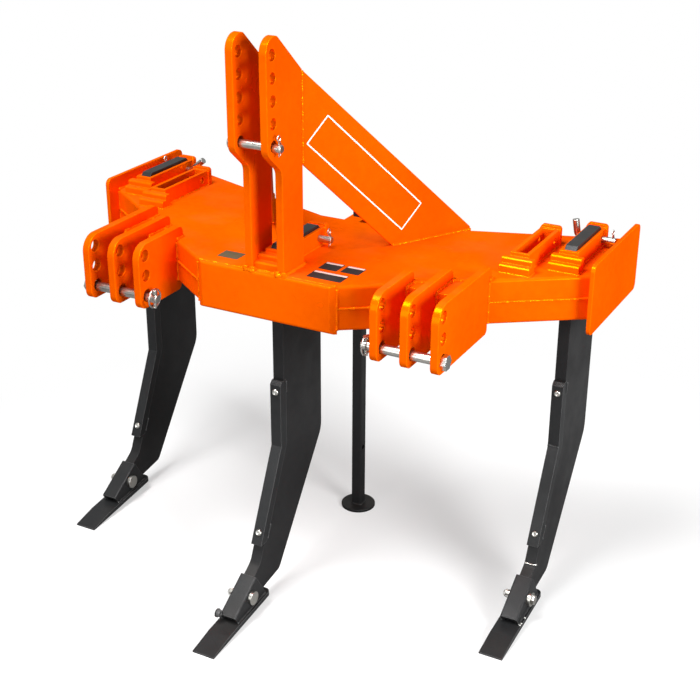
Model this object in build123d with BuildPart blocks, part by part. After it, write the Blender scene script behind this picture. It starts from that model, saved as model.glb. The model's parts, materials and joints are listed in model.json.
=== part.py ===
"""Three-shank subsoiler for a three-point hitch.

A swept box beam carries five pockets for straight-topped, forward-curved shanks. Two mast
plates with splayed braces take the top link, and three lug plates a side take the lower links.
Everything is in millimetres. x runs across the machine, y from the hitch to the rear, and z is up
from the floor. The origin is on the floor, midway along and across the machine.
"""
import os
from math import cos, radians, sin, tan

from build123d import *

os.makedirs("parts", exist_ok=True)

# Beam. Distances marked back are measured from the nose face towards the rear.
beam_top = 840
beam_height = 107
nose_half = 167
nose_t = 10
nose_hang = 7
wing_front_back = 342
wing_rear_back = 623
rear_half = 65
rear_back = 413
bend_radius = 8
seam_groove = 2.5
edge_break = 0.8

# End plates
overall_half = 665
end_plate_t = 10
end_plate_front = 300
end_plate_length = 337
end_plate_up = 37
end_plate_height = 168
end_plate_corner = 16

# Lower hitch lugs: the gaps between them take the lower links of both common hitch sizes.
lug_t = 18
link_gap_narrow = 341.5
link_gap_step = 71.3
lug_front = 61
lug_up = 28
lug_down = 128
lug_top_corner = 40
lug_bottom_corner = 20
lug_heel_corner = 12
lug_over = 15
lug_over_corner = 15
lug_hole_front = 35
lug_hole_pitch = 49
lug_hole_count = 3
lug_hole_r = 14.5
filler_back = 80

# Mast and braces
mast_half = 50
mast_t = 18
mast_front = 6
mast_rear = 94
mast_reach = 50
mast_crown_up = 532
mast_crown_back = -6
mast_crown_r = 34
mast_crown_corner = 18
mast_shoulder_up = 444
mast_step_top = 288
mast_step_bottom = 240
mast_step_r = 26
mast_hole_front = 26
mast_hole_up = 495
mast_hole_pitch = 48
mast_hole_count = 5
mast_hole_r = 12.7
brace_t = 12
brace_splay = 30.4
brace_low = 234
brace_high = 442
brace_foot_start = 240
brace_foot_end = 464
brace_toe = 8

# Shanks. The outline is given behind the front edge and above the beam's top.
shank_t = 28
shank_width = 178
shank_up = 48
shank_nose_chamfer = 10
centre_shank_back = 56
outer_shank_back = 366
outer_shank_inset = 81
pocket_pitch = 92
shank_bend_up = -455
shank_throat = (-124, -722)
shank_heel = (-120, -795)
shank_calf = (-37, -783)
heel_step = 8
toe_angle = 32
toe_inset = 8
shank_knee_up = -490
shank_corner_radii = [60, 20, 8, 4, 3, 3, 0.5, 1, 40, 90]
shank_pin_r = 8
shank_pin_from_rear = 20
shank_pin_up = 20

# Pockets
slide_clearance = 0.5
pocket_wall = 8
pocket_up = 40
pocket_down = 14
pad_half = 36
pad_up = 32
pad_length = 18
pad_toe_up = 19
pad_toe_length = 34
pad_step = 3
ear_half = 25
ear_t = 12
ear_up = 46
ear_corner = 8

# Wear parts. Fore-and-aft places are measured from the shank's front edge.
guard_proud = 16
guard_let_in = 10
guard_top = -285
guard_bottom = -676
guard_bevel = 8
guard_gap = 0.3
shoe_half = 22
shoe_wall = 10
shoe_gap = 0.3
shoe_top_run = 36
shoe_length = 113
shoe_depth = 100
shoe_proud = 3
shoe_corner = 4
point_half = 29
point_t = 11
point_tip_t = 4
point_tip = -358
point_length = 258
point_pitch = 6
point_bevel = 70
point_corner = 14
shoe_bolt_r = 8
shoe_bolt_head_r = 17
shoe_bolt_head_t = 9
shoe_bolt_end = 14
shoe_bolt_run = 79
shoe_bolt_in = 19.5

# Pins and clips
pin_clearance = 0.4
pin_seat = 0.2
pin_bevel = 1.5
lower_pin_r = 11
lower_pin_head_r = 18
lower_pin_head_t = 12
lower_pin_tail = 30
linch_from_end = 10
linch_r = 4
linch_below = 24
ring_r = 22
ring_wire_r = 2.2
linch_head_r = 7
linch_head_t = 10
top_pin_r = 9.5
top_pin_head_r = 15
top_pin_head_t = 8
top_pin_tail = 20
clip_wire_r = 1.6
clip_leg = 8
clip_neck = 6
clip_loop = 7
clip_gap = 1
clip_bend_r = 3
clip_hug_half = 5
clip_from_end = 8
handle_out = 14
handle_bend_r = 12
shank_pin_tail = 34

# Parking stand
stand_back = 465
stand_leg_half = 14
stand_leg_wall = 3.5
stand_leg_corner = 3
stand_leg_up = 60
stand_foot_r = 46
stand_foot_t = 8
stand_foot_bevel = 1.5
stand_slide_gap = 0.6
sleeve_wall = 6
sleeve_up = -2
sleeve_height = 100
stand_hole_up = 182
stand_hole_r = 7
clamp_screw_r = 6
clamp_nut_r = 11
clamp_nut_t = 10
clamp_out = 20
clamp_bar_half = 26
clamp_bar_r = 4
clamp_bar_from_end = 7

# The box of the machine runs from the centre point's tip to the end plates' rear edges.
tip_ahead = point_tip_t * sin(radians(point_pitch)) - centre_shank_back - point_tip
end_plate_back = end_plate_front + end_plate_length
nose_y = (tip_ahead - end_plate_back) / 2
wing_half = overall_half - end_plate_t
outer_shank_x = overall_half - outer_shank_inset
inner_pocket_x = outer_shank_x - pocket_pitch
shank_pin_back = shank_width - shank_pin_from_rear
floor_up = -beam_top


def level(up):
    """Sketch plane at a height above the beam's top: x across, y back from the nose."""
    return Plane((0, nose_y, beam_top + up))


def side(x, back=0):
    """Sketch plane facing along x: its x runs back from the given place, its y up from the beam."""
    return Plane(origin=(x, nose_y + back, beam_top), x_dir=(0, 1, 0), z_dir=(1, 0, 0))


def write(part, label):
    """Labels a finished piece and writes it to its own file."""
    part.label = label
    export_step(part, f"parts/{label}.step")


def slanting(edges):
    """Those of the edges that run neither straight across the machine nor straight back."""
    return [e for e in edges if 0.1 < abs(e.tangent_at(0).X) < 0.999]


def front_back(x):
    """How far the wings' front face lies behind the nose at x."""
    return wing_front_back * (abs(x) - nose_half) / (wing_half - nose_half)


pocket_half = shank_t / 2 + slide_clearance + pocket_wall
pocket_ahead = slide_clearance + pocket_wall
pocket_length = shank_width + 2 * pocket_ahead
inner_shank_back = outer_shank_back - front_back(outer_shank_x) + front_back(inner_pocket_x)

# Pocket name, x, front edge of its shank behind the nose, half width of its front pad
pockets = [
    ("left_outer", -outer_shank_x, outer_shank_back, pad_half),
    ("left_inner", -inner_pocket_x, inner_shank_back, pad_half),
    ("centre", 0, centre_shank_back, mast_half - mast_t - slide_clearance),
    ("right_inner", inner_pocket_x, inner_shank_back, pad_half),
    ("right_outer", outer_shank_x, outer_shank_back, pad_half),
]

# Shank name, x, front edge behind the nose, side of its pin's clip, the handle's rise and length
shanks = [
    ("left", -outer_shank_x, outer_shank_back, -1, 39, 52),
    ("centre", 0, centre_shank_back, 1, 70, 40),
    ("right", outer_shank_x, outer_shank_back, 1, 80, 40),
]

# Half of the beam's plan, from the nose round to the rear
plan = [
    (0, 0),
    (nose_half, 0),
    (wing_half, wing_front_back),
    (wing_half, wing_rear_back),
    (rear_half, rear_back),
    (0, rear_back),
]

# The beam's two folded channels meet in a welded seam at half its height.
seam_up = -beam_height / 2
for label, outer_up in (("beam_upper", 0), ("beam_lower", -beam_height)):
    with BuildPart() as channel:
        with BuildSketch(level(min(outer_up, seam_up))):
            with BuildLine():
                Polyline(*plan, close=True)
            make_face()
            mirror(about=Plane.YZ)
        extrude(amount=beam_height / 2)
        split(bisect_by=Plane((0, nose_y + nose_t, 0), z_dir=(0, 1, 0)), keep=Keep.TOP)
        outer_z = beam_top + outer_up
        skin = channel.faces().filter_by(Axis.Z).sort_by(SortBy.AREA)[-2:]
        outer_face = [f for f in skin if abs(f.center().Z - outer_z) < 1][0]
        seam_face = [f for f in skin if abs(f.center().Z - outer_z) > 1][0]
        fillet(slanting(outer_face.edges()), bend_radius)
        chamfer(slanting(seam_face.edges()), seam_groove)
        with BuildSketch(level(-beam_height)):
            for _, x, shank_back, _ in pockets:
                with Locations((x, shank_back - pocket_ahead + pocket_length / 2)):
                    Rectangle(2 * pocket_half, pocket_length)
        extrude(amount=beam_height, mode=Mode.SUBTRACT)
    write(channel.part, label)

# One flat plate closes the nose and hangs a little below the beam.
with BuildPart() as nose:
    with BuildSketch(level(-beam_height - nose_hang)):
        with BuildLine():
            Polyline(*plan, close=True)
        make_face()
        mirror(about=Plane.YZ)
    extrude(amount=beam_height + nose_hang)
    split(bisect_by=Plane((0, nose_y + nose_t, 0), z_dir=(0, 1, 0)), keep=Keep.BOTTOM)
    front = nose.faces().sort_by(Axis.Y)[0]
    fillet(front.edges().filter_by(Axis.X), bend_radius - 1)
write(nose.part, "nose_plate")

for label, x_sign in (("left", -1), ("right", 1)):
    # Rectangular plates close the wings' ends.
    with BuildPart() as end_plate:
        with BuildSketch(side(x_sign * wing_half)):
            centre = (end_plate_front + end_plate_length / 2, end_plate_up - end_plate_height / 2)
            with Locations(centre):
                RectangleRounded(end_plate_length, end_plate_height, end_plate_corner)
        extrude(amount=x_sign * end_plate_t)
        chamfer(end_plate.faces().filter_by(Axis.X).edges(), edge_break)
    write(end_plate.part, f"end_plate_{label}")

# Lug plates stand in two groups of three, and blocks of the beam's height fill the gaps behind.
lug_x = [link_gap_narrow + (i - 0.5) * link_gap_step for i in range(3)]
for label, x_sign in (("left", -1), ("right", 1)):
    for place, x in zip(("inner", "middle", "outer"), lug_x):
        with BuildPart() as lug:
            with BuildSketch(side(x_sign * x - lug_t / 2)):
                with BuildLine():
                    rear = front_back(x + lug_t / 2)
                    FilletPolyline(
                        (rear, seam_up),
                        (rear, -lug_down),
                        (-lug_front, -lug_down),
                        (-lug_front, lug_up),
                        (rear + lug_over, lug_up),
                        (rear + lug_over, seam_up),
                        radius=[lug_heel_corner, lug_bottom_corner, lug_top_corner, lug_over_corner],
                    )
                    Line((rear + lug_over, seam_up), (rear, seam_up))
                make_face()
                for i in range(lug_hole_count):
                    with Locations((-lug_hole_front, -i * lug_hole_pitch)):
                        Circle(lug_hole_r, mode=Mode.SUBTRACT)
            extrude(amount=lug_t)
            chamfer(lug.faces().filter_by(Axis.X).edges(), edge_break)
            with BuildSketch(level(-beam_height)):
                with BuildLine():
                    Polyline(*[(x_sign * px, back) for px, back in plan], close=True)
                make_face()
            extrude(amount=beam_height, mode=Mode.SUBTRACT)
        write(lug.part, f"lug_{label}_{place}")

    # Blocks close the gaps between the lugs, flush with the beam's top and bottom.
    with BuildPart() as filler:
        with BuildSketch(level(-beam_height)):
            for i in range(2):
                with BuildLine():
                    x_in = lug_x[i] + lug_t / 2
                    x_out = lug_x[i + 1] - lug_t / 2
                    Polyline(
                        (x_sign * x_in, filler_back),
                        (x_sign * x_in, front_back(x_in)),
                        (x_sign * x_out, front_back(x_out)),
                        (x_sign * x_out, filler_back),
                        close=True,
                    )
                make_face()
        extrude(amount=beam_height)
    write(filler.part, f"hitch_fillers_{label}")

    # The mast's upper half reaches forward over the hitch, and its rear top corner is cut back.
    with BuildPart() as mast:
        with BuildSketch(side(x_sign * mast_half)):
            with BuildLine():
                FilletPolyline(
                    (mast_rear, mast_shoulder_up),
                    (mast_crown_back, mast_crown_up),
                    (-mast_reach, mast_crown_up),
                    (-mast_reach, mast_step_top),
                    (mast_front, mast_step_bottom),
                    (mast_front, 0),
                    radius=[mast_crown_corner, mast_crown_r, mast_step_r, mast_step_r],
                )
                Polyline((mast_front, 0), (mast_rear, 0), (mast_rear, mast_shoulder_up))
            make_face()
            for i in range(mast_hole_count):
                with Locations((-mast_hole_front, mast_hole_up - i * mast_hole_pitch)):
                    Circle(mast_hole_r, mode=Mode.SUBTRACT)
        extrude(amount=-x_sign * mast_t)
        rims = mast.faces().filter_by(Axis.X).edges()
        chamfer([e for e in rims if e.center().Z > beam_top + 1], edge_break)
    write(mast.part, f"mast_plate_{label}")

    # A slanting brace runs from each mast plate's rear edge out to the wing's top.
    brace_plane = Plane(
        origin=(x_sign * mast_half, nose_y + mast_rear, beam_top),
        x_dir=(x_sign * sin(radians(brace_splay)), cos(radians(brace_splay)), 0),
        z_dir=(cos(radians(brace_splay)), -x_sign * sin(radians(brace_splay)), 0),
    )
    with BuildPart() as brace:
        with BuildSketch(brace_plane):
            with BuildLine():
                Polyline(
                    (-brace_t, brace_low),
                    (0, brace_low),
                    (brace_foot_start, 0),
                    (brace_foot_end, 0),
                    (brace_foot_end, brace_toe),
                    (0, brace_high),
                    (-brace_t, brace_high),
                    close=True,
                )
            make_face()
        extrude(amount=-x_sign * brace_t)
        split(bisect_by=Plane((0, nose_y + mast_rear, 0), z_dir=(0, 1, 0)), keep=Keep.TOP)
    write(brace.part, f"brace_{label}")

# Each pocket is a square-ended tube through the beam, with a stepped pad welded ahead of it
# and an ear plate behind it.
for label, x, shank_back, pad_half_here in pockets:
    front = shank_back - pocket_ahead
    rear = front + pocket_length
    with BuildPart() as pocket:
        with BuildSketch(level(-beam_height - pocket_down)):
            with Locations((x, (front + rear) / 2)):
                Rectangle(2 * pocket_half, pocket_length)
                Rectangle(
                    2 * (pocket_half - pocket_wall),
                    pocket_length - 2 * pocket_wall,
                    mode=Mode.SUBTRACT,
                )
        extrude(amount=beam_height + pocket_down + pocket_up)
        with BuildSketch(side(x - pad_half_here)):
            with BuildLine():
                Polyline(
                    (front, 0),
                    (front - pad_toe_length, 0),
                    (front - pad_toe_length, pad_toe_up - pad_step),
                    (front - pad_toe_length + pad_step, pad_toe_up),
                    (front - pad_length, pad_toe_up),
                    (front - pad_length, pad_up - pad_step),
                    (front - pad_length + pad_step, pad_up),
                    (front, pad_up),
                    close=True,
                )
            make_face()
        extrude(amount=2 * pad_half_here)
        with BuildSketch(Plane(origin=(x, nose_y + rear, beam_top), x_dir=(1, 0, 0), z_dir=(0, -1, 0))):
            with BuildLine():
                FilletPolyline(
                    (-ear_half, 0),
                    (-ear_half, ear_up),
                    (ear_half, ear_up),
                    (ear_half, 0),
                    radius=ear_corner,
                )
                Line((ear_half, 0), (-ear_half, 0))
            make_face()
        extrude(amount=-ear_t)
        with BuildSketch(side(x - pocket_half)):
            with Locations((shank_back + shank_pin_back, shank_pin_up)):
                Circle(shank_pin_r + pin_clearance)
        extrude(amount=2 * pocket_half, mode=Mode.SUBTRACT)
    write(pocket.part, f"pocket_{label}")

leg_slope = shank_throat[0] / (shank_throat[1] - shank_bend_up)
toe_slope = radians(toe_angle)
pitch = radians(point_pitch)
shoe_inner = shoe_proud - shoe_wall


def leg_front(up):
    """How far the shank's front edge lies behind its straight top part at a height."""
    return leg_slope * (up - shank_bend_up) if up < shank_bend_up else 0


def toe(run, out):
    """A place by the toe: run down its front slope from the throat, and out square to that slope."""
    back = shank_throat[0] - run * cos(toe_slope) - out * sin(toe_slope)
    return (back, shank_throat[1] - run * sin(toe_slope) + out * cos(toe_slope))


def point_top(back):
    """Height of the pitched point's upper face, from the beam's top."""
    return floor_up + point_t / cos(pitch) + (back - point_tip) * tan(pitch)


def foot_of_cut(run):
    """Where a cut square to the toe's front slope meets the point's upper face."""
    back, up = toe(run, 0)
    return toe(run, (point_top(back) - up) / (cos(toe_slope) + sin(toe_slope) * tan(pitch)))


def spring_clip(x, y, z, rod_r):
    """Spring clip: one leg stands through a rod's cross hole, the other hugs the rod's far side."""
    hug = rod_r + clip_wire_r + pin_seat
    waist = 2 * clip_wire_r + clip_gap
    neck_z = z + rod_r + clip_neck
    leg_end = (x, y, z - rod_r - clip_leg)
    with BuildPart() as clip:
        with BuildLine():
            FilletPolyline(
                leg_end,
                (x, y, neck_z),
                (x, y - clip_loop, neck_z + clip_loop),
                (x, y, neck_z + 2 * clip_loop),
                (x, y + clip_loop, neck_z + clip_loop),
                (x, y + waist, neck_z),
                (x, y + hug, z + clip_hug_half),
                (x, y + hug, z - clip_hug_half),
                (x, y + waist, z - rod_r - clip_neck),
                radius=clip_bend_r,
            )
        with BuildSketch(Plane(leg_end)):
            RegularPolygon(clip_wire_r, 6)
        sweep()
    return clip.part


def bar_between(front, rear, top, bottom):
    """Outline that runs beside the shank's front edge, from one offset of it to another."""
    return [
        (front, top),
        (rear, top),
        (rear, shank_bend_up),
        (leg_front(bottom) + rear, bottom),
        (leg_front(bottom) + front, bottom),
        (front, shank_bend_up),
    ]


for label, x, shank_back, clip_side, handle_rise, handle_length in shanks:
    pin_place = (shank_pin_back, shank_pin_up)
    bolt_place = toe(shoe_bolt_run, -shoe_bolt_in)
    heel_end = shank_heel[0] - heel_step
    toe_run = shoe_top_run + shoe_length - toe_inset
    toe_foot = foot_of_cut(toe_run)
    # The shank hangs straight in its pocket and curves forward to the toe.
    with BuildPart() as shank:
        with BuildSketch(side(x - shank_t / 2, shank_back)):
            with BuildLine():
                FilletPolyline(
                    (shank_width, 0),
                    (shank_width, shank_knee_up),
                    shank_calf,
                    shank_heel,
                    (heel_end, point_top(heel_end) + shoe_gap),
                    (toe_foot[0], toe_foot[1] + shoe_gap),
                    toe(toe_run, shoe_inner - shoe_gap),
                    toe(shoe_top_run, shoe_inner - shoe_gap),
                    toe(shoe_top_run, 0),
                    shank_throat,
                    (0, shank_bend_up),
                    (0, 0),
                    radius=shank_corner_radii,
                )
                Polyline(
                    (0, 0),
                    (0, shank_up - shank_nose_chamfer),
                    (shank_nose_chamfer, shank_up),
                    (shank_width - shank_nose_chamfer, shank_up),
                    (shank_width, shank_up - shank_nose_chamfer),
                    (shank_width, 0),
                )
            make_face()
            with Locations(pin_place):
                Circle(shank_pin_r + pin_clearance, mode=Mode.SUBTRACT)
            with Locations(bolt_place):
                Circle(shoe_bolt_r + pin_clearance, mode=Mode.SUBTRACT)
        extrude(amount=shank_t)
        # The guard is let into the front edge.
        with BuildSketch(side(x - shank_t / 2, shank_back)):
            with BuildLine():
                Polyline(*bar_between(-guard_proud, guard_let_in, guard_top, guard_bottom), close=True)
            make_face()
        extrude(amount=shank_t, mode=Mode.SUBTRACT)
    write(shank.part, f"shank_{label}")

    # A bent bar guards the shank's leading edge.
    with BuildPart() as guard:
        with BuildSketch(side(x - shank_t / 2, shank_back)):
            with BuildLine():
                guard_ends = (guard_top - guard_gap, guard_bottom + guard_gap)
                Polyline(*bar_between(-guard_proud, guard_let_in, *guard_ends), close=True)
            make_face()
        extrude(amount=shank_t)
        top_front = guard.edges().filter_by(Axis.X).group_by(Axis.Z)[-1].sort_by(Axis.Y)[0]
        chamfer(top_front, guard_bevel)
    write(guard.part, f"shin_guard_{label}")

    # The shoe is a channel, cut square at both ends, that straddles the toe and stands on the point.
    top_back, top_up = toe(shoe_top_run + shoe_gap, 0)
    with BuildPart() as shoe:
        channel_end = Plane(
            origin=(x, nose_y + shank_back + top_back, beam_top + top_up),
            x_dir=(1, 0, 0),
            z_dir=(0, -cos(toe_slope), -sin(toe_slope)),
        )
        with BuildSketch(channel_end):
            with BuildLine():
                FilletPolyline(
                    (-shoe_half, -shoe_depth),
                    (-shoe_half, shoe_proud),
                    (shoe_half, shoe_proud),
                    (shoe_half, -shoe_depth),
                    radius=shoe_corner,
                )
                Line((shoe_half, -shoe_depth), (-shoe_half, -shoe_depth))
            make_face()
            with Locations((0, shoe_inner)):
                Rectangle(
                    shank_t + 2 * shoe_gap,
                    shoe_depth,
                    align=(Align.CENTER, Align.MAX),
                    mode=Mode.SUBTRACT,
                )
        extrude(amount=shoe_length)
        top_face = Plane(
            origin=(x, nose_y + shank_back + point_tip, beam_top + point_top(point_tip)),
            z_dir=(0, -sin(pitch), cos(pitch)),
        )
        split(bisect_by=top_face, keep=Keep.TOP)
        with BuildSketch(side(x - shoe_half, shank_back)):
            with Locations(bolt_place):
                Circle(shoe_bolt_r + pin_clearance)
        extrude(amount=2 * shoe_half, mode=Mode.SUBTRACT)
    write(shoe.part, f"shoe_{label}")

    # The point is a flat chisel. It stands on its tip with its heel a little raised.
    along_point = Plane(
        origin=(x - point_half, nose_y + shank_back + point_tip, 0),
        x_dir=(0, cos(pitch), sin(pitch)),
        z_dir=(1, 0, 0),
    )
    with BuildPart() as point:
        with BuildSketch(along_point):
            with BuildLine():
                Polyline(
                    (0, 0),
                    (0, point_tip_t),
                    (point_bevel, point_t),
                    (point_length, point_t),
                    (point_length, 0),
                    close=True,
                )
            make_face()
        extrude(amount=2 * point_half)
        heel = point.faces().sort_by(Axis.Y)[-1].edges().filter_by(Axis.X, reverse=True)
        fillet(heel, point_corner)
    write(point.part, f"point_{label}")

    # One bolt holds shoe and shank together, its head on the right.
    with BuildPart() as shoe_bolt:
        with BuildSketch(side(x - shoe_half - shoe_bolt_end, shank_back)):
            with Locations(bolt_place):
                Circle(shoe_bolt_r)
        extrude(amount=2 * shoe_half + shoe_bolt_end)
        with BuildSketch(side(x + shoe_half, shank_back)):
            with Locations(bolt_place):
                Circle(shoe_bolt_head_r)
        extrude(amount=shoe_bolt_head_t)
    write(shoe_bolt.part, f"shoe_bolt_{label}")

    # The shank's pin is a rod bent up into a handle on its inboard side.
    tail = x + clip_side * (pocket_half + shank_pin_tail)
    elbow = x - clip_side * (pocket_half + handle_out)
    rise = radians(handle_rise)
    pin_z = beam_top + shank_pin_up
    pin_y = nose_y + shank_back + shank_pin_back
    clip_x = tail - clip_side * clip_from_end
    with BuildPart() as shank_pin:
        with BuildLine():
            FilletPolyline(
                (tail, pin_y, pin_z),
                (elbow, pin_y, pin_z),
                (elbow - clip_side * handle_length * cos(rise), pin_y, pin_z + handle_length * sin(rise)),
                radius=handle_bend_r,
            )
        with BuildSketch(Plane(origin=(tail, pin_y, pin_z), z_dir=(-clip_side, 0, 0))):
            Circle(shank_pin_r)
        sweep()
        with BuildSketch(Plane((clip_x, pin_y, pin_z - 2 * shank_pin_r))):
            Circle(clip_wire_r + pin_clearance)
        extrude(amount=4 * shank_pin_r, mode=Mode.SUBTRACT)
    write(shank_pin.part, f"shank_pin_{label}")
    write(spring_clip(clip_x, pin_y, pin_z, shank_pin_r), f"shank_clip_{label}")

# Pins through the lower lugs, in the lowest holes, lie on the holes' lower edges.
lower_pin_up = -(lug_hole_count - 1) * lug_hole_pitch - lug_hole_r + lower_pin_r + pin_seat
pin_y = nose_y - lug_hole_front
pin_z = beam_top + lower_pin_up
for label, x_sign in (("left", -1), ("right", 1)):
    inner_end = lug_x[0] - lug_t / 2 - lower_pin_tail
    head_start = lug_x[-1] + lug_t / 2 + pin_seat
    linch_x = x_sign * (inner_end + linch_from_end)
    with BuildPart() as lower_pin:
        with BuildSketch(side(x_sign * inner_end, -lug_hole_front)):
            with Locations((0, lower_pin_up)):
                Circle(lower_pin_r)
        extrude(amount=x_sign * (head_start - inner_end))
        with BuildSketch(side(x_sign * head_start, -lug_hole_front)):
            with Locations((0, lower_pin_up)):
                RegularPolygon(lower_pin_head_r, 6)
        extrude(amount=x_sign * lower_pin_head_t)
        inner_face = lower_pin.faces().filter_by(Axis.X).sort_by(lambda f: abs(f.center().X))[0]
        chamfer(inner_face.edges(), pin_bevel)
        with BuildSketch(Plane((linch_x, pin_y, pin_z - 2 * lower_pin_r))):
            Circle(linch_r + pin_clearance)
        extrude(amount=4 * lower_pin_r, mode=Mode.SUBTRACT)
    write(lower_pin.part, f"lower_pin_{label}")

    # A linch pin stands through each inner end, its sprung ring round the pin.
    with BuildPart() as linch:
        with BuildSketch(Plane((linch_x, pin_y, pin_z - linch_below))):
            Circle(linch_r)
        extrude(amount=linch_below + lower_pin_r + pin_seat)
        with BuildSketch(Plane((linch_x, pin_y, pin_z + lower_pin_r + pin_seat))):
            Circle(linch_head_r)
        extrude(amount=linch_head_t)
        with BuildSketch(Plane(origin=(linch_x, pin_y, pin_z), x_dir=(0, 1, 0), z_dir=(0, 0, 1))):
            with Locations((ring_r, 0)):
                RegularPolygon(ring_wire_r, 6)
        revolve(axis=Axis((linch_x, pin_y, pin_z), (1, 0, 0)))
    write(linch.part, f"linch_pin_{label}")

# The top link's pin lies in the lowest pair of mast holes.
top_pin_up = mast_hole_up - (mast_hole_count - 1) * mast_hole_pitch - mast_hole_r + top_pin_r + pin_seat
tail = mast_half + top_pin_tail
clip_x = tail - clip_from_end
pin_y = nose_y - mast_hole_front
pin_z = beam_top + top_pin_up
with BuildPart() as top_pin:
    with BuildSketch(side(-mast_half - pin_seat, -mast_hole_front)):
        with Locations((0, top_pin_up)):
            Circle(top_pin_r)
    extrude(amount=mast_half + pin_seat + tail)
    with BuildSketch(side(-mast_half - pin_seat, -mast_hole_front)):
        with Locations((0, top_pin_up)):
            Circle(top_pin_head_r)
    extrude(amount=-top_pin_head_t)
    chamfer(top_pin.faces().filter_by(Axis.X).sort_by(Axis.X)[-1].edges(), pin_bevel)
    with BuildSketch(Plane((clip_x, pin_y, pin_z - 2 * top_pin_r))):
        Circle(clip_wire_r + pin_clearance)
    extrude(amount=4 * top_pin_r, mode=Mode.SUBTRACT)
write(top_pin.part, "top_pin")
write(spring_clip(clip_x, pin_y, pin_z, top_pin_r), "top_clip")

# The parking stand is a square leg that slides in a sleeve behind the beam.
stand_y = nose_y + stand_back
with BuildPart() as leg:
    with BuildSketch(Plane((0, stand_y, stand_foot_t))):
        RectangleRounded(2 * stand_leg_half, 2 * stand_leg_half, stand_leg_corner)
        inner = 2 * (stand_leg_half - stand_leg_wall)
        Rectangle(inner, inner, mode=Mode.SUBTRACT)
    extrude(amount=beam_top + stand_leg_up - stand_foot_t)
    with BuildSketch(Plane(origin=(-2 * stand_leg_half, stand_y, stand_hole_up), z_dir=(1, 0, 0))):
        Circle(stand_hole_r)
    extrude(amount=4 * stand_leg_half, mode=Mode.SUBTRACT)
write(leg.part, "stand_leg")

with BuildPart() as foot:
    with BuildSketch(Plane((0, stand_y, 0))):
        Circle(stand_foot_r)
    extrude(amount=stand_foot_t)
    chamfer(foot.edges().group_by(Axis.Z)[-1], stand_foot_bevel)
write(foot.part, "stand_foot")

sleeve_in = stand_leg_half + stand_slide_gap
sleeve_out = sleeve_in + sleeve_wall
sleeve_bottom = sleeve_up - sleeve_height
screw_z = beam_top + sleeve_up - sleeve_height / 2
with BuildPart() as sleeve:
    with BuildSketch(level(sleeve_bottom)):
        with Locations((0, stand_back)):
            Rectangle(2 * sleeve_out, 2 * sleeve_out)
        with BuildLine():
            Polyline(
                (-sleeve_out, rear_back),
                (sleeve_out, rear_back),
                (sleeve_out, stand_back),
                (-sleeve_out, stand_back),
                close=True,
            )
        make_face()
        with Locations((0, stand_back)):
            Rectangle(2 * sleeve_in, 2 * sleeve_in, mode=Mode.SUBTRACT)
    extrude(amount=sleeve_height)
    # A nut is welded to the sleeve's rear for the clamp screw.
    with BuildSketch(Plane(origin=(0, stand_y + sleeve_out, screw_z), z_dir=(0, 1, 0))):
        RegularPolygon(clamp_nut_r, 6)
    extrude(amount=clamp_nut_t)
    with BuildSketch(Plane(origin=(0, stand_y, screw_z), z_dir=(0, 1, 0))):
        Circle(clamp_screw_r + pin_clearance)
    extrude(amount=sleeve_out + clamp_nut_t, mode=Mode.SUBTRACT)
write(sleeve.part, "stand_sleeve")

# The clamp screw ends just short of the leg, and a bar through its head turns it.
screw_start = stand_y + stand_leg_half + pin_seat
screw_end = stand_y + sleeve_out + clamp_nut_t + clamp_out
with BuildPart() as screw:
    with BuildSketch(Plane(origin=(0, screw_start, screw_z), z_dir=(0, 1, 0))):
        Circle(clamp_screw_r)
    extrude(amount=screw_end - screw_start)
    with BuildSketch(Plane((0, screw_end - clamp_bar_from_end, screw_z - clamp_bar_half))):
        Circle(clamp_bar_r)
    extrude(amount=2 * clamp_bar_half)
write(screw.part, "clamp_screw")
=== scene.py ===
# %% [markdown]
# # Dressing a subsoiler
# A subsoiler is a farm implement that loosens deep, hard ground. It hangs behind a tractor on three
# arms. Its solids come from CAD and already have their true shape and size, so this script adds what
# a workshop adds last: paint and plating, weld runs, bolt heads and small plates. Then it sets up
# the light and the camera.

# %% Load the frame
import bpy
import bmesh
import json
import math
import random
from mathutils import Matrix, Vector


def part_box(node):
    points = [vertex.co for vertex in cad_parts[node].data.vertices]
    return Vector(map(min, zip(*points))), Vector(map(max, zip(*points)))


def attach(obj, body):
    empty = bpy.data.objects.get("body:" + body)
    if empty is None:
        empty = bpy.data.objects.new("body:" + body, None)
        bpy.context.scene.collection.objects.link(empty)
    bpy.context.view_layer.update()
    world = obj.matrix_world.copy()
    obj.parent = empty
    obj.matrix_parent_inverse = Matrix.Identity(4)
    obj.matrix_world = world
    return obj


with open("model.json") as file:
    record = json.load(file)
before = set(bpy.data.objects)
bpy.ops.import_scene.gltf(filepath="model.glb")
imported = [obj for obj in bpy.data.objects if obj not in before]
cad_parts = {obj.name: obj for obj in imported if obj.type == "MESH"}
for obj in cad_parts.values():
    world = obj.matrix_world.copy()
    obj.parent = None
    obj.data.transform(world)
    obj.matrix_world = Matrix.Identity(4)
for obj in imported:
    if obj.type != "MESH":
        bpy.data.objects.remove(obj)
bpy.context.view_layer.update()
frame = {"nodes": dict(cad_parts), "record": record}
nodes = frame["nodes"]
slot_of = {row["node"]: row["material_slot"] for row in frame["record"]["subparts"]}

# %% [markdown]
# ## Places on the machine
# A drawing of an implement gives places in millimetres from a few datums. Here they are the middle
# plane, the face of the nose and the beam's flat top. Places could also be typed in metres, but then
# they would stay behind if the beam moved. So two datums are read from the loaded plates, and the
# added pieces follow the solids.

# %% Datums
MM = 0.001
NOSE_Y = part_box("nose_plate")[0][1]
BEAM_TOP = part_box("beam_upper")[1][2]


def spot(x, back, up):
    """A place in metres from one in millimetres: across, back from the nose, up from the beam's top."""
    return Vector((x * MM, NOSE_Y + back * MM, BEAM_TOP + up * MM))


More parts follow.
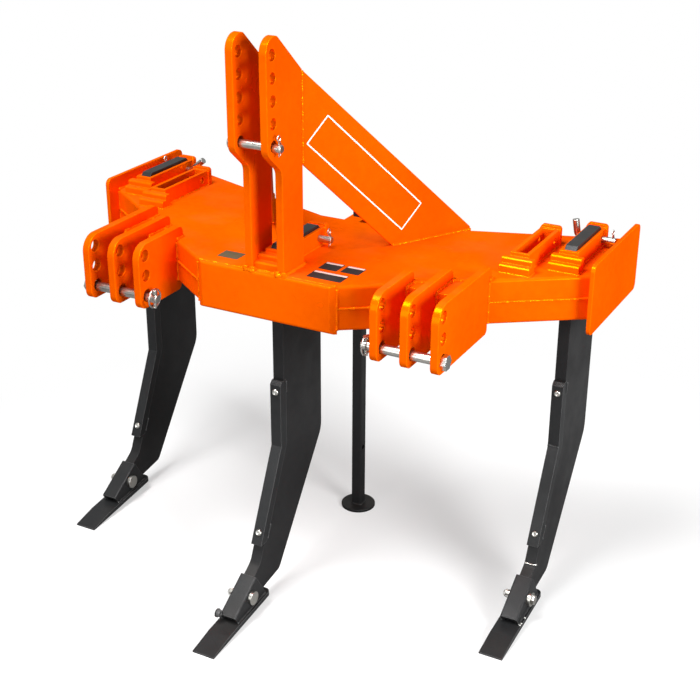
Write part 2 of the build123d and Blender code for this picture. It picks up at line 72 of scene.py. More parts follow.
def box_mm(node):
    """Lowest and highest corners of a node, in millimetres from the same datums."""
    low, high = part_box(node)
    shift = Vector((0, NOSE_Y, BEAM_TOP))
    return (Vector(low) - shift) / MM, (Vector(high) - shift) / MM


BEAM_UNDER = box_mm("beam_lower")[0].z
WING_END = box_mm("end_plate_right")[0].x
print("beam underside", round(BEAM_UNDER, 1), "mm, wing's end", round(WING_END, 1), "mm")

# %% [markdown]
# ## The camera
# The photograph was taken from ahead of the machine, on its right, and a little above its mast. A
# camera could be aimed by eye at an empty object. Here the sight lines were worked out from the
# hitch plates, whose spacing is standard, so the camera stands where the real one stood. A camera in
# Blender looks along its own -Z axis, with +Y up and +X right, so its rotation matrix has those
# three directions as its columns.

# %% Place the camera
FOCAL_PIXELS = 1337.1
IMAGE_PIXELS = 700
SENSOR_MM = 36.0
FAR_CLIP = 60
EYE = Vector((1.4743, -2.5294, 1.9177))
TO_THE_RIGHT = Vector((0.8822, 0.4708, 0.0040)).normalized()
INTO_THE_PICTURE = Vector((-0.4271, 0.8038, -0.4141)).normalized()

camera_data = bpy.data.cameras.new("photo_camera")
camera_data.sensor_width = SENSOR_MM
camera_data.lens = SENSOR_MM * FOCAL_PIXELS / IMAGE_PIXELS
camera_data.clip_end = FAR_CLIP
camera = bpy.data.objects.new("photo_camera", camera_data)
to_the_top = TO_THE_RIGHT.cross(INTO_THE_PICTURE).normalized()
camera_turn = Matrix((TO_THE_RIGHT, to_the_top, -INTO_THE_PICTURE)).transposed().to_4x4()
camera.matrix_world = Matrix.Translation(EYE) @ camera_turn
bpy.context.scene.collection.objects.link(camera)
bpy.context.scene.camera = camera
bpy.context.scene.view_settings.view_transform = "Standard"
print("lens", round(camera_data.lens, 1), "mm")

# %% [markdown]
# ## Shorthand for nodes
# A node tree could be joined up by hand in the editor. In a script each kind of node gets a short
# function that takes either plain values or sockets, so a material reads as a list of what it does.

# %% Helpers for nodes
# A Mix node has sockets for numbers, vectors and colours. These are the ones for colours.
MIX_FACTOR, MIX_FIRST, MIX_SECOND, MIX_RESULT = 0, 6, 7, 2


def new_material(name):
    """An empty node material, its tree and its output."""
    material = bpy.data.materials.new(name)
    material.use_nodes = True
    tree = material.node_tree
    tree.nodes.clear()
    return material, tree, tree.nodes.new("ShaderNodeOutputMaterial")


def add_node(tree, kind, inputs=None, **settings):
    """A node with its settings, and its inputs either set or linked."""
    node = tree.nodes.new(kind)
    for key, value in settings.items():
        setattr(node, key, value)
    for key, value in (inputs or {}).items():
        if isinstance(value, bpy.types.NodeSocket):
            tree.links.new(value, node.inputs[key])
        else:
            node.inputs[key].default_value = value
    return node


def maths(tree, operation, *values):
    """The result of a Math node."""
    return add_node(tree, "ShaderNodeMath", dict(enumerate(values)), operation=operation).outputs[0]


def ranged(tree, value, low, high, to_low=0.0, to_high=1.0):
    """A value stretched from one range onto another and held inside it."""
    inputs = {"Value": value, "From Min": low, "From Max": high, "To Min": to_low, "To Max": to_high}
    return add_node(tree, "ShaderNodeMapRange", inputs).outputs[0]


def noise(tree, scale, detail):
    """A cloudy value that stays with the object when the object moves."""
    where = tree.nodes.new("ShaderNodeTexCoord")
    inputs = {"Vector": where.outputs["Object"], "Scale": scale, "Detail": detail}
    return add_node(tree, "ShaderNodeTexNoise", inputs).outputs["Fac"]


def mix_colours(tree, factor, first, second):
    """A colour that goes from the first to the second as the factor goes from 0 to 1."""
    inputs = {MIX_FACTOR: factor, MIX_FIRST: first, MIX_SECOND: second}
    return add_node(tree, "ShaderNodeMix", inputs, data_type="RGBA").outputs[MIX_RESULT]


def mix_shaders(tree, factor, first, second):
    """A shader that goes from the first to the second as the factor goes from 0 to 1."""
    return add_node(tree, "ShaderNodeMixShader", {0: factor, 1: first, 2: second}).outputs[0]


# %% [markdown]
# ## White surroundings
# A white sweep gives catalogue pictures their empty background. It could be one bright world, but so
# much light from all sides would wash out the paint. So the world looks at what asks: a ray straight
# from the camera finds pure white, one from a mirror finds half of that, and what the world sheds on
# the machine is weak.

# %% The world
WHITE = (1, 1, 1, 1)
WORLD_SHED = 0.10
WORLD_SEEN = 1.0
MIRROR_SHARE = 0.5

world = bpy.data.worlds.new("studio")
bpy.context.scene.world = world
world.use_nodes = True
tree = world.node_tree
tree.nodes.clear()
world_out = tree.nodes.new("ShaderNodeOutputWorld")
shed = add_node(tree, "ShaderNodeBackground", {"Color": WHITE, "Strength": WORLD_SHED})
seen = add_node(tree, "ShaderNodeBackground", {"Color": WHITE, "Strength": WORLD_SEEN})
path = tree.nodes.new("ShaderNodeLightPath")
mirrored = maths(tree, "MULTIPLY", path.outputs["Is Glossy Ray"], MIRROR_SHARE)
straight = maths(tree, "MAXIMUM", path.outputs["Is Camera Ray"], path.outputs["Is Transmission Ray"])
any_seen = maths(tree, "MAXIMUM", straight, mirrored)
surroundings = mix_shaders(tree, any_seen, shed.outputs[0], seen.outputs[0])
tree.links.new(surroundings, world_out.inputs["Surface"])
print("world sheds", WORLD_SHED, "and is seen at", WORLD_SEEN)

# %% [markdown]
# ## The floor
# The machine stands on white paper that runs on into the background. A plain white floor would take
# a dark shadow and end in a visible edge. Here the camera sees part of the white as the floor's own
# glow, so the shadow stays pale, and a little way out the floor is nothing but glow, so it melts
# into the background. Everything else sees a plain matt floor, which throws light up under the beam.

# %% Floor mesh
FLOOR_RADIUS = 14
FLOOR_SIDES = 96

floor_mesh = bpy.data.meshes.new("floor")
disc = bmesh.new()
bmesh.ops.create_circle(disc, cap_ends=True, segments=FLOOR_SIDES, radius=FLOOR_RADIUS)
disc.to_mesh(floor_mesh)
disc.free()
floor = bpy.data.objects.new("floor", floor_mesh)
bpy.context.scene.collection.objects.link(floor)
print("floor", 2 * FLOOR_RADIUS, "m across")

# %% Floor material
FLOOR_MATT = (0.30, 0.30, 0.30, 1)
FLOOR_PALE = (0.46, 0.46, 0.46, 1)
FLOOR_GLOW = 0.49
SHADOW_MIDDLE = (0.05, 0.25, 0)
FADE_START = 0.80
FADE_END = 1.35

floor_white, tree, out = new_material("floor_white")
matt = add_node(tree, "ShaderNodeBsdfDiffuse", {"Color": FLOOR_MATT})
pale = add_node(tree, "ShaderNodeBsdfDiffuse", {"Color": FLOOR_PALE})
glow = add_node(tree, "ShaderNodeEmission", {"Color": WHITE, "Strength": FLOOR_GLOW})
near = add_node(tree, "ShaderNodeAddShader", {0: pale.outputs[0], 1: glow.outputs[0]})
far = add_node(tree, "ShaderNodeEmission", {"Color": WHITE, "Strength": WORLD_SEEN})
where = tree.nodes.new("ShaderNodeTexCoord")
from_middle = {0: where.outputs["Object"], 1: SHADOW_MIDDLE}
outward = add_node(tree, "ShaderNodeVectorMath", from_middle, operation="SUBTRACT")
away = add_node(tree, "ShaderNodeVectorMath", {0: outward.outputs["Vector"]}, operation="LENGTH")
fade = ranged(tree, away.outputs["Value"], low=FADE_START, high=FADE_END)
shown = mix_shaders(tree, fade, near.outputs[0], far.outputs[0])
path = tree.nodes.new("ShaderNodeLightPath")
paper = mix_shaders(tree, path.outputs["Is Camera Ray"], matt.outputs[0], shown)
tree.links.new(paper, out.inputs["Surface"])
floor_mesh.materials.append(floor_white)
print("floor glows", FLOOR_GLOW, "and is pure white from", FADE_END, "m out")

# %% [markdown]
# ## Lamps
# Paint in a studio is lit by soft boxes, because a broad lamp draws a broad, even highlight. A sun
# lamp would be simpler, but its shadow is harder. One box hangs overhead and a little ahead,
# which lays the shadow under and behind the machine. A wide, weak one fills the front, and a strong
# one on the right lights the braces, the lugs and the end plate.


# %% The lamps
def soft_box(name, place, aim, size, watts):
    """A square lamp that looks from place to aim."""
    data = bpy.data.lights.new(name, "AREA")
    data.shape = "SQUARE"
    data.size = size
    data.energy = watts
    lamp = bpy.data.objects.new(name, data)
    turn = (Vector(aim) - Vector(place)).to_track_quat("-Z", "Y").to_matrix().to_4x4()
    lamp.matrix_world = Matrix.Translation(place) @ turn
    bpy.context.scene.collection.objects.link(lamp)
    print("lamp", name, watts, "W")


soft_box("overhead", place=(-0.5, -1.15, 3.9), aim=(0, 0, 0.7), size=1.5, watts=190)
soft_box("front", place=(-0.5, -3.6, 1.5), aim=(0, 0, 0.7), size=2.2, watts=50)
soft_box("side", place=(3.4, -1.1, 1.8), aim=(0, 0, 0.8), size=1.5, watts=180)

# %% [markdown]
# ## Shader groups
# Every finish on a machine like this is made of the same few things: a colour that isn't quite even,
# a surface that isn't quite smooth, edges with a bent normal and a colour of their own, and a little
# dust on top.
# They could be drawn again in each material. Instead each is built once as a group that puts out a
# colour, a mask, a height or a normal, and each material joins the ones that it needs. They read
# object coordinates, which are metres here, so a scale of 100 makes spots of about a centimetre.


# %% Group helper
def new_group(name, ins, outs):
    """A node group with its sockets, its input node and its output node."""
    group = bpy.data.node_groups.new(name, "ShaderNodeTree")
    for label, kind in ins.items():
        group.interface.new_socket(label, in_out="INPUT", socket_type=kind)
    for label, kind in outs.items():
        group.interface.new_socket(label, in_out="OUTPUT", socket_type=kind)
    print("group", name, "puts out", list(outs))
    return group, group.nodes.new("NodeGroupInput"), group.nodes.new("NodeGroupOutput")


COLOUR = "NodeSocketColor"
NUMBER = "NodeSocketFloat"
DIRECTION = "NodeSocketVector"

# %% [markdown]
# ### Uneven tone
# Sprayed paint is a little thicker in one place than in the next. An image of paint would show that
# too, but it would need unwrapping. A broad noise and a fine one that mix two close tones do it on
# any solid.

# %% Tone group
FINE_SHARE = 0.35
tone, tone_in, tone_out = new_group("uneven_tone", {"Light": COLOUR, "Deep": COLOUR}, {"Color": COLOUR})
broad = noise(tone, scale=3.5, detail=4.0)
fine = noise(tone, scale=60.0, detail=3.0)
spread = ranged(tone, maths(tone, "MULTIPLY_ADD", fine, FINE_SHARE, broad), low=0.50, high=0.86)
mixed = mix_colours(tone, spread, tone_in.outputs["Light"], tone_in.outputs["Deep"])
tone.links.new(mixed, tone_out.inputs["Color"])

# %% [markdown]
# ### Orange peel
# Gloss paint that is sprayed thick dries with a skin of very shallow dimples. They are far too small
# to model, so they go into the bump height, where they break up reflections. The broad waves under
# them change the roughness too.

# %% Peel group
WAVE_SHARE = 1.6
peel, _, peel_out = new_group("orange_peel", {}, {"Height": NUMBER, "Roughness": NUMBER})
dimples = noise(peel, scale=240.0, detail=2.0)
waves = noise(peel, scale=14.0, detail=2.0)
height = maths(peel, "MULTIPLY_ADD", waves, WAVE_SHARE, dimples)
rough = ranged(peel, waves, low=0.3, high=0.7, to_low=0.24, to_high=0.36)
peel.links.new(height, peel_out.inputs["Height"])
peel.links.new(rough, peel_out.inputs["Roughness"])

# %% [markdown]
# ### Edges
# No edge on welded plate is perfectly sharp: it is broken by a grinder and rounded by paint, and the
# rounding always catches some lamp. A real bevel on every solid would cost many faces. The Bevel
# node only bends the normal near an edge. Where that normal parts from the flat one, there is an
# edge, so the group also puts out a mask that is 1 on edges and 0 on flats.

# %% Edge group
EDGE_RADIUS = 0.0022
EDGE_SAMPLES = 6
edge, _, edge_out = new_group("edges", {}, {"Mask": NUMBER, "Normal": DIRECTION})
rounded = add_node(edge, "ShaderNodeBevel", {"Radius": EDGE_RADIUS}, samples=EDGE_SAMPLES)
flat = edge.nodes.new("ShaderNodeNewGeometry")
normals = {0: rounded.outputs[0], 1: flat.outputs["True Normal"]}
alike = add_node(edge, "ShaderNodeVectorMath", normals, operation="DOT_PRODUCT")
mask = ranged(edge, alike.outputs["Value"], low=0.995, high=0.90)
edge.links.new(mask, edge_out.inputs["Mask"])
edge.links.new(rounded.outputs[0], edge_out.inputs["Normal"])

# %% [markdown]
# ### Dust
# Dust settles on what faces up, in patches, and leaves walls clean. The upward part of the normal
# says where it can lie, and a noise says where it does. This machine is new, so each finish takes
# only a trace of it.

# %% Dust group
dust, _, dust_out = new_group("dust", {}, {"Mask": NUMBER})
facing = dust.nodes.new("ShaderNodeNewGeometry")
split = add_node(dust, "ShaderNodeSeparateXYZ", {0: facing.outputs["Normal"]})
upward = ranged(dust, split.outputs["Z"], low=0.6, high=1.0)
patches = ranged(dust, noise(dust, scale=9.0, detail=6.0), low=0.45, high=0.75)
dust.links.new(maths(dust, "MULTIPLY", upward, patches), dust_out.inputs["Mask"])

# %% [markdown]
# ## Finishes
# Each finish is one Principled shader with the groups joined to it. A function makes them all, so
# that they differ only in tones, skin, edge colour and dust. On the blacks the edge colour is grey
# wear, and on the zinc the edges are lighter. On the orange it is a painted highlight: a lighter,
# yellower orange where a rounded edge would catch the lamps. What is the same all over, such as how
# metallic the finish is, is set on the shader itself.

# %% Finish helper
DUST_COLOUR = (0.34, 0.24, 0.15, 1)
SKIN_DEPTH = 0.0006


def group_node(tree, group, inputs=None):
    """A use of one of the shader groups."""
    node = tree.nodes.new("ShaderNodeGroup")
    node.node_tree = group
    for key, value in (inputs or {}).items():
        node.inputs[key].default_value = value
    return node


def finish(name, light, deep, bump, rougher, sockets, edge_colour=None, edge_share=0.5, dust_share=0.0):
    """A material for painted, plated or bare steel, built from the shader groups."""
    material, tree, out = new_material(name)
    shader = add_node(tree, "ShaderNodeBsdfPrincipled", sockets)
    skin = group_node(tree, peel)
    bumps = {"Height": skin.outputs["Height"], "Strength": bump, "Distance": SKIN_DEPTH}
    relief = add_node(tree, "ShaderNodeBump", bumps)
    colour = group_node(tree, tone, {"Light": light, "Deep": deep}).outputs["Color"]
    # Edge colour: grey wear on the blacks, lighter edges on the zinc, a painted highlight on the
    # orange.
    if edge_colour:
        edges = group_node(tree, edge)
        edge_wear_and_highlight = maths(tree, "MULTIPLY", edges.outputs["Mask"], edge_share)
        colour = mix_colours(tree, edge_wear_and_highlight, colour, edge_colour)
        tree.links.new(edges.outputs["Normal"], relief.inputs["Normal"])
    if dust_share:
        laid = maths(tree, "MULTIPLY", group_node(tree, dust).outputs["Mask"], dust_share)
        colour = mix_colours(tree, laid, colour, DUST_COLOUR)
    rough = maths(tree, "ADD", skin.outputs["Roughness"], rougher)
    tree.links.new(colour, shader.inputs["Base Color"])
    tree.links.new(rough, shader.inputs["Roughness"])
    tree.links.new(relief.outputs[0], shader.inputs["Normal"])
    tree.links.new(shader.outputs[0], out.inputs["Surface"])
    print("finish", name, "has", len(tree.nodes), "nodes")
    return material


# %% [markdown]
# ### Orange gloss on the frame
# This pigment is so pure that it throws back almost no green and no blue, so the gaps between
# plates, which light only reaches by way of other orange plates, turn towards red. A plain gloss
# coat would put white on every plate that is seen edge on. So the coat's own reflection is off, and
# a share of metallic reflection, tinted orange, gives a gloss that stays warm.

# %% Frame orange
frame_orange = finish(
    "frame_orange",
    light=(0.92, 0.124, 0.0003, 1),
    deep=(0.82, 0.092, 0.0002, 1),
    # The edge colour is a painted highlight: a lighter, yellower orange along edges that would catch
    # the lamps.
    edge_colour=(1.0, 0.24, 0.001, 1),
    edge_share=0.55,
    dust_share=0.05,
    bump=0.10,
    rougher=-0.08,
    sockets={"Metallic": 0.26, "Specular IOR Level": 0.0, "Specular Tint": (1.0, 0.36, 0.01, 1)},
)

# %% [markdown]
# ### Orange gloss over weld
# The same paint lies thicker and wetter in the ripples of a weld, and every ripple is a small
# mirror. The edge group would find an edge on every ripple, so this finish goes without it and is
# made glossier instead. Its colour is a lighter, yellower orange than the frame's: a painted
# highlight that stands in for the glints on the ripples.

# %% Weld orange
weld_orange = finish(
    # A lighter, yellower orange than the frame's: a painted highlight for the glints on the ripples.
    "weld_orange",
    light=(0.95, 0.17, 0.001, 1),
    deep=(0.84, 0.115, 0.0005, 1),
    bump=0.35,
    rougher=-0.12,
    sockets={"Metallic": 0.35, "Specular IOR Level": 0.0, "Specular Tint": (1.0, 0.7, 0.15, 1)},
)

# %% [markdown]
# ### Satin black on the shanks, the stand and the wear parts
# Shanks and the stand are painted black before they are fitted, with a thin satin coat over mill
# scale. One black could do for all. But the guards, shoes and points come from another bin: they
# are a little paler, coarser, and grey along the edges, because they knock together in store.

# %% Blacks
shank_black = finish(
    "shank_black",
    light=(0.0145, 0.0145, 0.015, 1),
    deep=(0.0095, 0.0095, 0.010, 1),
    edge_colour=(0.060, 0.060, 0.060, 1),
    dust_share=0.04,
    bump=0.25,
    rougher=0.14,
    sockets={"Specular IOR Level": 0.2},
)
stand_black = finish(
    "stand_black",
    light=(0.014, 0.014, 0.0145, 1),
    deep=(0.009, 0.009, 0.0095, 1),
    edge_colour=(0.050, 0.050, 0.050, 1),
    dust_share=0.06,
    bump=0.25,
    rougher=0.18,
    sockets={"Specular IOR Level": 0.2},
)
wear_black = finish(
    "wear_black",
    light=(0.0175, 0.0182, 0.0190, 1),
    deep=(0.0112, 0.0116, 0.0122, 1),
    edge_colour=(0.14, 0.14, 0.14, 1),
    edge_share=0.55,
    dust_share=0.02,
    bump=0.5,
    rougher=0.10,
    sockets={"Specular IOR Level": 0.22},
)

# %% [markdown]
# ### Bright zinc on pins, clips and bolts
# Plated steel is a true metal, so its colour is in its reflection, and Metallic is 1. Grey paint
# would look dull beside it. The two tones lie far apart, because plating clouds over in patches.

# %% Zinc
zinc = finish(
    "zinc",
    light=(0.58, 0.57, 0.53, 1),
    deep=(0.36, 0.35, 0.32, 1),
    edge_colour=(0.90, 0.90, 0.88, 1),
    dust_share=0.05,
    bump=0.2,
    rougher=-0.02,
    sockets={"Metallic": 1.0},
)

# %% [markdown]
# ### Film and plate
# Stuck-on film is thin plastic with a soft gloss: black, pale, or white. The small metal plate is
# dull and a little brown. All four are too thin for an edge that wears, so they go without the edge
# group.

# %% Film and plate finishes
film_black = finish(
    "film_black",
    light=(0.020, 0.016, 0.016, 1),
    deep=(0.012, 0.010, 0.010, 1),
    dust_share=0.04,
    bump=0.1,
    rougher=0.15,
    sockets={"Specular IOR Level": 0.1},
)
film_pale = finish(
    "film_pale",
    light=(0.80, 0.62, 0.58, 1),
    deep=(0.62, 0.46, 0.42, 1),
    dust_share=0.10,
    bump=0.1,
    rougher=0.05,
    sockets={"Specular IOR Level": 0.4},
)
film_white = finish(
    "film_white",
    light=(0.92, 0.92, 0.90, 1),
    deep=(0.80, 0.80, 0.78, 1),
    dust_share=0.05,
    bump=0.1,
    rougher=0.05,
    sockets={"Specular IOR Level": 0.4},
)
plate_metal = finish(
    "plate_metal",
    light=(0.14, 0.105, 0.050, 1),
    deep=(0.075, 0.055, 0.025, 1),
    dust_share=0.08,
    bump=0.3,
    rougher=0.10,
    sockets={"Metallic": 0.4, "Specular IOR Level": 0.1},
)

# %% [markdown]
# ## The solids get their finishes
# Each solid could be given its material by name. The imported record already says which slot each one
# belongs to, so one short table does the whole machine.

# %% Assign
FINISHES = {
    "frame_orange": frame_orange,
    "shank_black": shank_black,
    "stand_black": stand_black,
    "wear_steel": wear_black,
    "zinc": zinc,
}
for name, node in nodes.items():
    node.data.materials.clear()
    node.data.materials.append(FINISHES[slot_of[name]])
print({slot: sum(1 for s in slot_of.values() if s == slot) for slot in FINISHES})

# %% [markdown]
# ## Weld runs
# A frame like this is cut from plate and joined by hand with a wire welder. Each run is a row of
# frozen ripples, and it starts and ends with a blob. A curve with a round bevel would make a smooth
# pipe, and a bump map would vanish edge on, yet it is the ripples that catch the lamps along every
# joint. So a run is a closed tube, half sunk in its corner, whose rings are laid one by one, each
# with its own size. No operator makes such a tube.

# %% Weld run
RUN_SIDES = 7
RUN_STEP = 0.0019
BLOB_LONG = 0.006
BLOB_SHARE = 0.22
# The waves along a run: how long each is in metres, and its share of the run's size.
RIPPLE = (0.0062, 0.10)
PACE = ((0.031, 0.14), (0.0173, 0.10))
UNEVEN = 0.04
# Where a run climbs more steeply than this, its rings are squared up to X in place of Z.
UPRIGHT = 0.7


def wave(gone, shape):
    """How much a wave adds to the run's size after so many metres."""
    length, share = shape
    return share * math.sin(2 * math.pi * gone / length)


def add_run(mesh, points, radius, dice):
    """Adds one closed, rippled weld run along a line of places in metres."""
    line = []
    for start, end in zip(points, points[1:]):
        count = max(1, round((end - start).length / RUN_STEP))
        line += [start.lerp(end, i / count) for i in range(count)]
    line.append(points[-1])
    last = len(line) - 1
    rings = []
    for i, middle in enumerate(line):
        along = (line[min(i + 1, last)] - line[max(i - 1, 0)]).normalized()
        helper = Vector((0, 0, 1)) if abs(along.z) < UPRIGHT else Vector((1, 0, 0))
        across = along.cross(helper).normalized()
        over = along.cross(across)
        gone = i * RUN_STEP
        from_end = min(i, last - i) * RUN_STEP
        blob = BLOB_SHARE * (1 - min(1, from_end / BLOB_LONG))
        waves_here = wave(gone, RIPPLE) + sum(wave(gone, shape) for shape in PACE)
        size = radius * (1 + blob + waves_here + dice.uniform(-UNEVEN, UNEVEN))
        angles = [2 * math.pi * k / RUN_SIDES for k in range(RUN_SIDES)]
        spokes = [across * math.cos(angle) + over * math.sin(angle) for angle in angles]
        rings.append([mesh.verts.new(middle + spoke * size) for spoke in spokes])
    for first, second in zip(rings, rings[1:]):
        for k in range(RUN_SIDES):
            after = (k + 1) % RUN_SIDES
            mesh.faces.new((first[k], first[after], second[after], second[k]))
    mesh.faces.new(rings[0][::-1])
    mesh.faces.new(rings[-1])


# %% Pieces that ride on the machine
def finished_piece(name, mesh, material, body, smooth=True):
    """Turns a bmesh into a piece that rides on a body."""
    bmesh.ops.recalc_face_normals(mesh, faces=mesh.faces)
    for face in mesh.faces:
        face.smooth = smooth
    data = bpy.data.meshes.new(name)
    mesh.to_mesh(data)
    mesh.free()
    data.materials.append(material)
    piece = bpy.data.objects.new(name, data)
    bpy.context.scene.collection.objects.link(piece)
    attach(piece, body)
    print(name, "has", len(data.polygons), "faces")


def weld_piece(name, runs, radius_mm, material=weld_orange, body="frame"):
    """One piece made of many runs, each a list of places in millimetres from the datums."""
    dice = random.Random(name)
    mesh = bmesh.new()
    for run in runs:
        add_run(mesh, [spot(*place) for place in run], radius_mm * MM, dice)
    finished_piece(name, mesh, material, body)


def both_sides(run):
    """A run on the machine's right and its twin on the left."""
    return [run, [(-x, back, up) for x, back, up in run]]


def beside(x, face_back, steps):
    """A run in the plane at x, through places given as (behind a face, up)."""
    return [(x, face_back + behind, up) for behind, up in steps]


# %% [markdown]
# ### Beam
# The beam's two channels meet in a seam halfway up, which runs round the wings in front and behind.
# The nose and the end plates are welded on over the open ends. The wings are straight in plan, so
# two short functions give the places along their faces, and no list of points is needed.

# %% Places along the beam
NOSE_HALF = 167
WING_BACK = 342
REAR_HALF = 65
REAR_BACK = 413
REAR_END_BACK = 623
LUG_HALF = 9
LUG_X = [box_mm(f"lug_right_{place}")[0].x + LUG_HALF for place in ("inner", "middle", "outer")]
SLEEVE_HALF = box_mm("stand_sleeve")[1].x
SEAM_UP = BEAM_UNDER / 2


def wing_front(x):
    """How far the wing's front face lies behind the nose at x."""
    return WING_BACK * (abs(x) - NOSE_HALF) / (WING_END - NOSE_HALF)


def wing_rear(x):
    """How far the wing's rear face lies behind the nose at x."""
    return REAR_BACK + (REAR_END_BACK - REAR_BACK) * (abs(x) - REAR_HALF) / (WING_END - REAR_HALF)


print("lugs at", [round(x, 1) for x in LUG_X], "mm from the middle")

# %% Seam welds
SEAM_FROM = NOSE_HALF + 14
SEAM_TO = WING_END - 1

runs = []
for start, end in ((SEAM_FROM, LUG_X[0] - LUG_HALF), (LUG_X[2] + LUG_HALF, SEAM_TO)):
    runs += both_sides([(start, wing_front(start), SEAM_UP), (end, wing_front(end), SEAM_UP)])
rear_seam = [(SEAM_TO, wing_rear(SEAM_TO)), (REAR_HALF, REAR_BACK), (SLEEVE_HALF, REAR_BACK)]
runs += both_sides([(x, back, SEAM_UP) for x, back in rear_seam])
weld_piece("beam_seam_welds", runs, radius_mm=3.0)

# %% End welds
END_INSET = 5

runs = []
for up in (0, BEAM_UNDER):
    runs += both_sides([(WING_END, WING_BACK, up), (WING_END, REAR_END_BACK, up)])
for back in (WING_BACK, REAR_END_BACK):
    runs += both_sides(beside(WING_END, back, [(0, -END_INSET), (0, BEAM_UNDER + END_INSET)]))
weld_piece("beam_end_welds", runs, radius_mm=3.2)

# %% Nose welds
NOSE_T = 10
NOSE_END = NOSE_HALF + NOSE_T * (WING_END - NOSE_HALF) / WING_BACK
NOSE_CORNER = 4
NOSE_SIDE = [(0, -7), (0, BEAM_UNDER + 3)]
# Where the runs along the nose stop short of the middle, and how high they lie.
NOSE_TOP = (2, -1.5)
NOSE_UNDER = (20, BEAM_UNDER)

runs = both_sides(beside(NOSE_END, NOSE_T, NOSE_SIDE))
for stop, up in (NOSE_TOP, NOSE_UNDER):
    runs += both_sides([(NOSE_END - NOSE_CORNER, NOSE_T, up), (stop, NOSE_T, up)])
weld_piece("nose_welds", runs, radius_mm=3.0, material=frame_orange)

# %% [markdown]
# ### Hitch
# Every lug is welded down both of its sides and over its top. Filler blocks close the gaps between
# the lugs, and at their corners the welder's blobs run together into thick beads. All three lugs
# of a side are alike, so a loop places their runs, and each run has its twin on the other side.

# %% Hitch welds
FILLER_BACK = 80
LUG_OVER = 15
LUG_TOP_INSET = 6
LUG_FOOT_INSET = 4

runs = []
for i, x in enumerate(LUG_X):
    end = wing_front(x + LUG_HALF) + LUG_OVER
    for face in (x - LUG_HALF, x + LUG_HALF):
        beside_filler = (i < 2 and face > x) or (i > 0 and face < x)
        start = FILLER_BACK if beside_filler else wing_front(face)
        runs += both_sides(beside(face, start, [(0, -LUG_TOP_INSET), (0, BEAM_UNDER + LUG_FOOT_INSET)]))
        runs += both_sides([(face, start, 0), (face, end, 0)])
    runs += both_sides([(x - LUG_HALF, end, 0), (x + LUG_HALF, end, 0)])
weld_piece("hitch_welds", runs, radius_mm=4.0)

# %% Filler welds
# Each bead as (behind the face it lies on, up).
CORNER_BEAD = [(1, -12), (0, -1), (14, 0)]
POOL_BEAD = [(-6, -3), (20, 0), (32, -6)]
CROSS_INSET = 3
CROSS_BEHIND = 2
CROSS_UP = -1.5

runs = []
for lug, next_lug in zip(LUG_X, LUG_X[1:]):
    inner, outer = lug + LUG_HALF, next_lug - LUG_HALF
    for x in (inner, outer):
        runs += both_sides(beside(x, FILLER_BACK, CORNER_BEAD))
    runs += both_sides(beside(inner, wing_front(inner), POOL_BEAD))
    ends = (inner + CROSS_INSET, outer - CROSS_INSET)
    runs += both_sides([(x, wing_front(x) + CROSS_BEHIND, CROSS_UP) for x in ends])
weld_piece("filler_welds", runs, radius_mm=5.5)

# %% [markdown]
# ### Mast and braces
# The mast plates stand on the beam with a thick run all round each foot, thickest at the front
# corners, where it starts and stops. Each brace slopes back from the mast, so its runs are given
# along its own face and turned into the machine's places by one function.

# %% Mast welds
MAST_IN, MAST_OUT = [corner.x for corner in box_mm("mast_plate_right")]
MAST_FRONT = 6
MAST_REAR = 94
FRONT_BLOB = [(9, 0), (-1, 0), (0, 9)]

foot = [(MAST_OUT, MAST_FRONT), (MAST_OUT, MAST_REAR), (MAST_IN, MAST_REAR), (MAST_IN, MAST_FRONT)]
runs = both_sides([(x, back, 0) for x, back in foot + foot[:1]])
for x in (MAST_OUT, MAST_IN):
    runs += both_sides(beside(x, MAST_FRONT, FRONT_BLOB))
weld_piece("mast_foot_welds", runs, radius_mm=6.5)

# %% Brace welds
BRACE_T = 12
BRACE_TURN = math.radians(30.4)
BRACE_FOOT = (240, 464)
BRACE_HEAD = (236, 440)
along_brace = Vector((math.sin(BRACE_TURN), math.cos(BRACE_TURN)))
into_brace = Vector((-math.cos(BRACE_TURN), math.sin(BRACE_TURN)))


def by_brace(along, inside, up):
    """A place beside the right brace: along its outer face, inside that face, and up."""
    place = Vector((MAST_OUT, MAST_REAR)) + along_brace * along + into_brace * inside
    return (place.x, place.y, up)


start, end = BRACE_FOOT
runs = both_sides([by_brace(start, 0, 0), by_brace(end, 0, 0)])
runs += both_sides([by_brace(start, BRACE_T, 0), by_brace(end, BRACE_T, 0), by_brace(end, 0, 0)])
runs += both_sides([(MAST_OUT, MAST_REAR, up) for up in BRACE_HEAD])
weld_piece("mast_welds", runs, radius_mm=3.8)

# %% [markdown]
# ### Pockets
# Each pocket's pad, tube and ear are welded to the top of the beam, and the tube is welded again
# where it comes out underneath. The places could be listed for each of the five pockets. But they
# are built alike, so each one's runs are worked out from its own box.

# %% Pocket welds
TUBE_HALF = 22.5
TUBE_LONG = 195
EAR_HALF = 25
EAR_T = 12
REAR_RUN = [(0, 2), (0, 38)]
FRONT_RUN = [(0, 2), (0, 30)]
POCKETS = ("left_outer", "left_inner", "centre", "right_inner", "right_outer")

